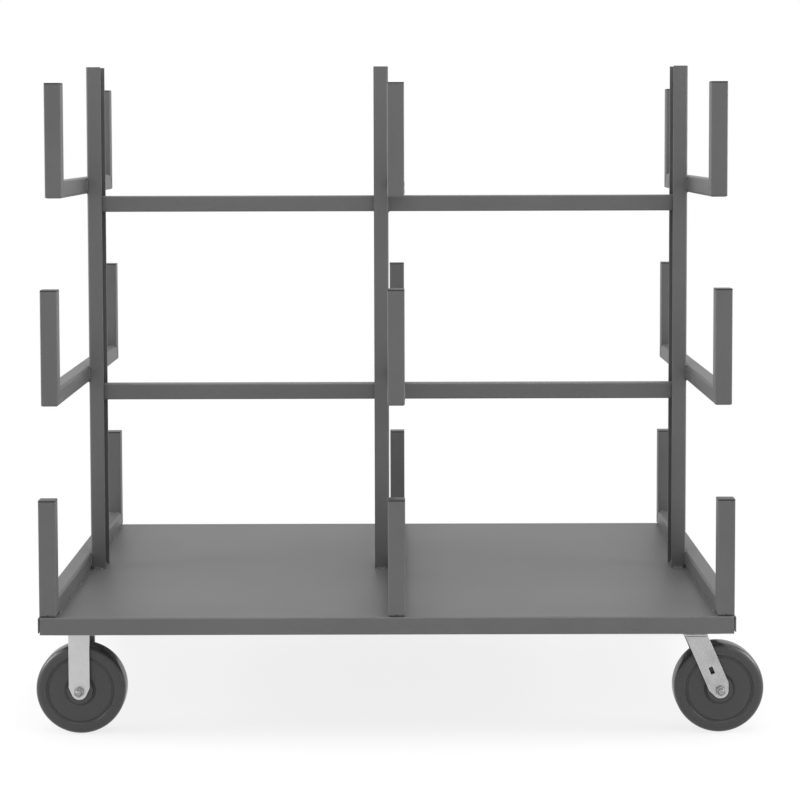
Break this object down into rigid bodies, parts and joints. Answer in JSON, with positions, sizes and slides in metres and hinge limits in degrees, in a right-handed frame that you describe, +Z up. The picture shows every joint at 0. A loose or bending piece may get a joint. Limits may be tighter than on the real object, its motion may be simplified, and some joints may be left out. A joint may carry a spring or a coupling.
{
  "type": "pipe cart",
  "caption": "Welded steel pipe cart: flanged sheet deck on rigid and swivel casters, with channel uprights, rails and stacked cradle arms that hold pipe and bar stock.",
  "frame": {"origin": "on the floor, in the middle of the four wheel contacts", "axes": "+X along the deck towards the swivel casters, +Y from front to back, +Z up"},
  "size_m": [1.6218, 0.7684, 1.4973],
  "materials": {
    "paint": "smooth satin powder coat, dark grey",
    "cap": "moulded, dark grey",
    "zinc": "bright zinc plate",
    "hardware": "zinc plate",
    "bearing": "ground steel",
    "wheel": "moulded phenolic, dark grey"
  },
  "bodies": {
    "cart": {"deck_tray": "paint", "bolster_left": "paint", "bolster_centre": "paint", "bolster_right": "paint", "upright_left": "paint", "upright_centre": "paint", "upright_right": "paint", "rail_lower_left": "paint", "rail_lower_right": "paint", "rail_upper_left": "paint", "rail_upper_right": "paint", "arm_low_left": "paint", "stakes_low_left": "paint", "arm_low_centre": "paint", "stakes_low_centre": "paint", "arm_low_right": "paint", "stakes_low_right": "paint", "arm_mid_left": "paint", "stakes_mid_left": "paint", "arm_mid_centre": "paint", "stakes_mid_centre": "paint", "arm_mid_right": "paint", "stakes_mid_right": "paint", "arm_top_left": "paint", "stakes_top_left": "paint", "arm_top_centre": "paint", "stakes_top_centre": "paint", "arm_top_right": "paint", "stakes_top_right": "paint", "stake_caps": "cap", "rigid_plates": "zinc", "rigid_fork_front": "zinc", "rigid_fork_back": "zinc", "swivel_plate_front": "zinc", "swivel_plate_back": "zinc", "rigid_axle_bolts": "hardware", "rigid_axle_nuts": "hardware", "kingpins": "hardware", "kingpin_nuts": "hardware", "mount_bolts": "hardware", "mount_nuts": "hardware", "rigid_axle_sleeves": "bearing", "swivel_balls": "bearing"},
    "front_rigid_wheel": {"rigid_wheel_front": "wheel", "rigid_rollers_front": "bearing"},
    "front_swivel": {"swivel_fork_front": "zinc", "swivel_axle_sleeve_front": "bearing", "swivel_axle_bolt_front": "hardware", "swivel_axle_nut_front": "hardware"},
    "front_swivel_wheel": {"swivel_wheel_front": "wheel", "swivel_rollers_front": "bearing"},
    "back_rigid_wheel": {"rigid_wheel_back": "wheel", "rigid_rollers_back": "bearing"},
    "back_swivel": {"swivel_fork_back": "zinc", "swivel_axle_sleeve_back": "bearing", "swivel_axle_bolt_back": "hardware", "swivel_axle_nut_back": "hardware"},
    "back_swivel_wheel": {"swivel_wheel_back": "wheel", "swivel_rollers_back": "bearing"}
  },
  "joints": [
    {"name": "front_rigid_wheel_spin", "type": "hinge", "parent": "cart", "child": "front_rigid_wheel", "pos_m": [-0.7109, -0.3162, 0.1], "axis": [0, 1, 0], "continuous": true},
    {"name": "front_swivel_turn", "type": "hinge", "parent": "cart", "child": "front_swivel", "pos_m": [0.6553, -0.3162, 0.2205], "axis": [0, 0, 1], "continuous": true},
    {"name": "front_swivel_wheel_spin", "type": "hinge", "parent": "front_swivel", "child": "front_swivel_wheel", "pos_m": [0.7109, -0.3162, 0.1], "axis": [0, 1, 0], "continuous": true},
    {"name": "back_rigid_wheel_spin", "type": "hinge", "parent": "cart", "child": "back_rigid_wheel", "pos_m": [-0.7109, 0.3162, 0.1], "axis": [0, 1, 0], "continuous": true},
    {"name": "back_swivel_turn", "type": "hinge", "parent": "cart", "child": "back_swivel", "pos_m": [0.6553, 0.3162, 0.2205], "axis": [0, 0, 1], "continuous": true},
    {"name": "back_swivel_wheel_spin", "type": "hinge", "parent": "back_swivel", "child": "back_swivel_wheel", "pos_m": [0.7109, 0.3162, 0.1], "axis": [0, 1, 0], "continuous": true}
  ]
}
